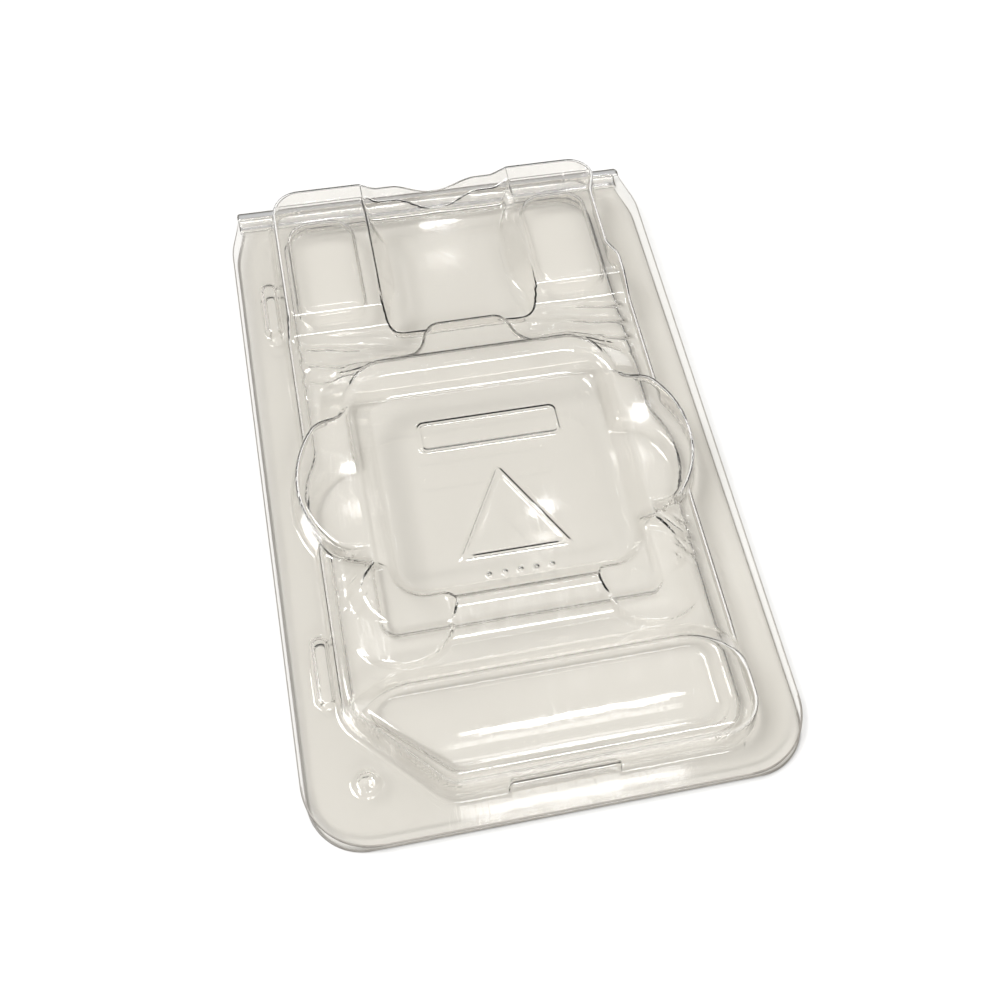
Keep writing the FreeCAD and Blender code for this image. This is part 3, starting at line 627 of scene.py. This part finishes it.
def painted_shade_edge():
    """The die-cut edge of the sheet: slightly frosted, so it reads as a thin darker outline. Its dark
    brown-grey colour is painted shade, standing in for the shade that refraction draws along the sheet's edge.
    """
    material = bpy.data.materials.new("die_cut_edge_painted_shade")
    material.use_nodes = True
    tree = material.node_tree
    shader = tree.nodes["Principled BSDF"]
    place = tree.nodes.new("ShaderNodeTexCoord")
    grain = node(tree, "ShaderNodeTexNoise", Scale=700.0, Detail=3.0)
    tree.links.new(place.outputs["Object"], grain.inputs["Vector"])
    # Dark brown-grey base colour: painted shade for the outline along the edge; the noise only varies it.
    shade = tree.nodes.new("ShaderNodeMix")
    shade.data_type = "RGBA"
    shade.inputs["A"].default_value = (0.30, 0.275, 0.25, 1)
    shade.inputs["B"].default_value = (0.52, 0.49, 0.45, 1)
    tree.links.new(grain.outputs["Fac"], shade.inputs["Factor"])
    tree.links.new(shade.outputs["Result"], shader.inputs["Base Color"])
    bump = node(tree, "ShaderNodeBump", Strength=0.2, Distance=0.00005)
    tree.links.new(grain.outputs["Fac"], bump.inputs["Height"])
    tree.links.new(bump.outputs["Normal"], shader.inputs["Normal"])
    shader.inputs["Roughness"].default_value = 0.35
    shader.inputs["Transmission Weight"].default_value = 0.55
    shader.inputs["IOR"].default_value = 1.57
    return material


plastic = clear_sheet()
painted_shade_edge_material = painted_shade_edge()
roll.data.materials.append(plastic)
# The second slot holds the edge material, whose dark colour is a painted shade outline.
for piece in (lid_sheet, base_sheet):
    piece.data.materials[0] = plastic
    piece.data.materials[1] = painted_shade_edge_material
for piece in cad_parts.values():
    for slot in piece.material_slots:
        slot.material = plastic

LID_SECTIONS = [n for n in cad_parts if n.startswith("lid_") and n != "lid_hinge_leaf"]
BASE_SECTIONS = [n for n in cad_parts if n.startswith("base_") and n != "base_hinge_leaf"]
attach(lid_sheet, "lid")
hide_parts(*LID_SECTIONS)
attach(base_sheet, "base")
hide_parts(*BASE_SECTIONS)
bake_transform(roll)
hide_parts("base_hinge_leaf", "lid_hinge_leaf")

# ---------------------------------------------------------------- stage, light and camera

EYE = Vector((-0.0259, -0.0964, 0.1684))
CAMERA_AXES = (
    Vector((0.979336, -0.1979, 0.041672)), Vector((0.15312, 0.860171, 0.486478)),
    Vector((-0.132119, -0.470044, 0.872699)),
)
LENS = 43.93
LAMP_REACH = 6.0  # a mirrored lamp stands this many times as far from the eye's image as its streak does

# The opened lid's domes hang below the base, so behind the hinge the floor lies lower by their depth.
FLOOR_LEVEL, STEP_DEPTH, STEP_Y, FLOOR_HALF = -0.1, 7.0, 58.4, 3000.0
floor_rows = (
    (-FLOOR_HALF, FLOOR_LEVEL), (STEP_Y, FLOOR_LEVEL),
    (STEP_Y, FLOOR_LEVEL - STEP_DEPTH), (FLOOR_HALF, FLOOR_LEVEL - STEP_DEPTH),
)
floor = mesh_object(
    "floor", np.array([(x, y, z) for y, z in floor_rows for x in (-FLOOR_HALF, FLOOR_HALF)]) * MM,
    [(0, 1, 3, 2), (4, 5, 7, 6)],
)
floor.data.materials.append(paper())

world = bpy.data.worlds.new("studio")
bpy.context.scene.world = world
world.use_nodes = True


def sky(tree, dim, bright, strength):
    """A plain studio surround: dark near the floor and pale overhead."""
    back = tree.nodes["Background"]
    place = tree.nodes.new("ShaderNodeTexCoord")
    split = tree.nodes.new("ShaderNodeSeparateXYZ")
    tree.links.new(place.outputs["Generated"], split.inputs["Vector"])
    ramp = tree.nodes.new("ShaderNodeValToRGB")
    ramp.color_ramp.interpolation = "EASE"
    ramp.color_ramp.elements[0].position = 0.12
    ramp.color_ramp.elements[0].color = (*dim, 1)
    ramp.color_ramp.elements[1].position = 0.75
    ramp.color_ramp.elements[1].color = (*bright, 1)
    tree.links.new(split.outputs["Z"], ramp.inputs["Fac"])
    tree.links.new(ramp.outputs["Color"], back.inputs["Color"])
    back.inputs["Strength"].default_value = strength
    backdrop = node(tree, "ShaderNodeBackground", Color=(0.94, 0.94, 0.935, 1), Strength=1.0)
    path = tree.nodes.new("ShaderNodeLightPath")
    choice = tree.nodes.new("ShaderNodeMixShader")
    tree.links.new(path.outputs["Is Camera Ray"], choice.inputs["Fac"])
    tree.links.new(back.outputs["Background"], choice.inputs[1])
    tree.links.new(backdrop.outputs["Background"], choice.inputs[2])
    tree.links.new(choice.outputs["Shader"], tree.nodes["World Output"].inputs["Surface"])


sky(world.node_tree, (0.16, 0.145, 0.12), (0.72, 0.72, 0.72), 0.8)


def softbox(name, azimuth, elevation, distance, width, height, power, colour=(1, 1, 1)):
    """A rectangular area light that faces the pack. Azimuth is from +X towards +Y."""
    lamp = bpy.data.lights.new(name, "AREA")
    lamp.shape = "RECTANGLE"
    lamp.size, lamp.size_y = width, height
    lamp.energy = power
    lamp.color = colour
    light = bpy.data.objects.new(name, lamp)
    bpy.context.scene.collection.objects.link(light)
    a, e = math.radians(azimuth), math.radians(elevation)
    away = Vector((math.cos(e) * math.cos(a), math.cos(e) * math.sin(a), math.sin(e)))
    light.location = away * distance
    light.rotation_euler = away.to_track_quat("Z", "Y").to_euler()
    return light


sun = bpy.data.lights.new("ceiling", "SUN")
sun.energy = 2.15
sun.angle = math.radians(26)
sun_object = bpy.data.objects.new("ceiling", sun)
bpy.context.scene.collection.objects.link(sun_object)
sun_object.rotation_euler = Vector((-0.48, 0.12, 0.87)).to_track_quat("Z", "Y").to_euler()
softbox("window_front", 277, 48, 1.2, 0.6, 0.12, 4.2)


def mirror_tube(name, ends, level, width, power):
    """A thin area light placed so that the camera sees it mirrored in the lid between two points of its top."""
    lean = Vector((0, -math.sin(LID_TILT), math.cos(LID_TILT)))
    on_lid = [lid_place() @ (Vector((x, y, level)) * MM) for x, y in ends]
    eye = EYE - 2 * lean * (EYE - on_lid[0]).dot(lean)
    far = [eye + (point - eye) * LAMP_REACH for point in on_lid]
    lamp = bpy.data.lights.new(name, "AREA")
    lamp.shape = "RECTANGLE"
    lamp.size, lamp.size_y = (far[1] - far[0]).length, width * MM * LAMP_REACH
    lamp.energy = power
    light = bpy.data.objects.new(name, lamp)
    bpy.context.scene.collection.objects.link(light)
    along = (far[1] - far[0]).normalized()
    away = ((far[0] + far[1]) / 2 - (on_lid[0] + on_lid[1]) / 2).normalized()
    across = away.cross(along).normalized()
    frame_axes = Matrix((along, across, along.cross(across))).transposed().to_4x4()
    frame_axes.translation = (far[0] + far[1]) / 2
    light.matrix_world = frame_axes
    return light


mirror_tube("tube_tray", ((-13.5, -50.0), (17.0, -50.0)), LID_TOP, 1.3, 0.12)
mirror_tube("tube_tray_low", ((-12.0, -51.9), (15.0, -51.9)), LID_TOP, 0.5, 0.03)
for share in (1.0, 0.85, 0.7, 0.55):
    ends = ((0.5 - 16.5 * share, -54.9), (0.5 + 16.5 * share, -54.9))
    mirror_tube("tube_flange", ends, GAUGE, 2.6 * share, 0.024 * share * share)
mirror_tube("tube_channel", ((-2.8, 47.5), (3.0, 47.2)), CHANNEL_LEVEL, 0.9, 0.012)
for side, start, end in (("left", -24.5, -17.5), ("right", 20.0, 26.5)):
    mirror_tube("glint_" + side, ((start, 20.2), (end, 20.6)), SHELF, 1.5, 0.03)
    mirror_tube("glint_back_" + side, ((start + 1.0, 22.9), (end - 1.0, 23.1)), SHELF, 0.7, 0.012)
mirror_tube("spot_left", ((-23.6, -2.2), (-21.8, -2.2)), LID_TOP, 1.6, 0.012)
mirror_tube("spot_right", ((22.6, -0.6), (24.4, -0.6)), LID_TOP, 1.8, 0.012)
mirror_tube("tube_dish", ((3.5, -12.5), (6.5, -12.5)), DISH_LEVEL, 2.0, 0.012)

camera = bpy.data.objects.new("camera", bpy.data.cameras.new("camera"))
bpy.context.scene.collection.objects.link(camera)
camera.data.sensor_width = 36.0
camera.data.lens = LENS
camera.data.clip_start = 0.01
camera_place = Matrix(CAMERA_AXES).transposed().to_4x4()
camera_place.translation = EYE
camera.matrix_world = camera_place
bpy.context.scene.camera = camera
bpy.context.scene.view_settings.view_transform = "Standard"
bpy.context.scene.cycles.caustics_refractive = False
bpy.context.scene.cycles.caustics_reflective = False
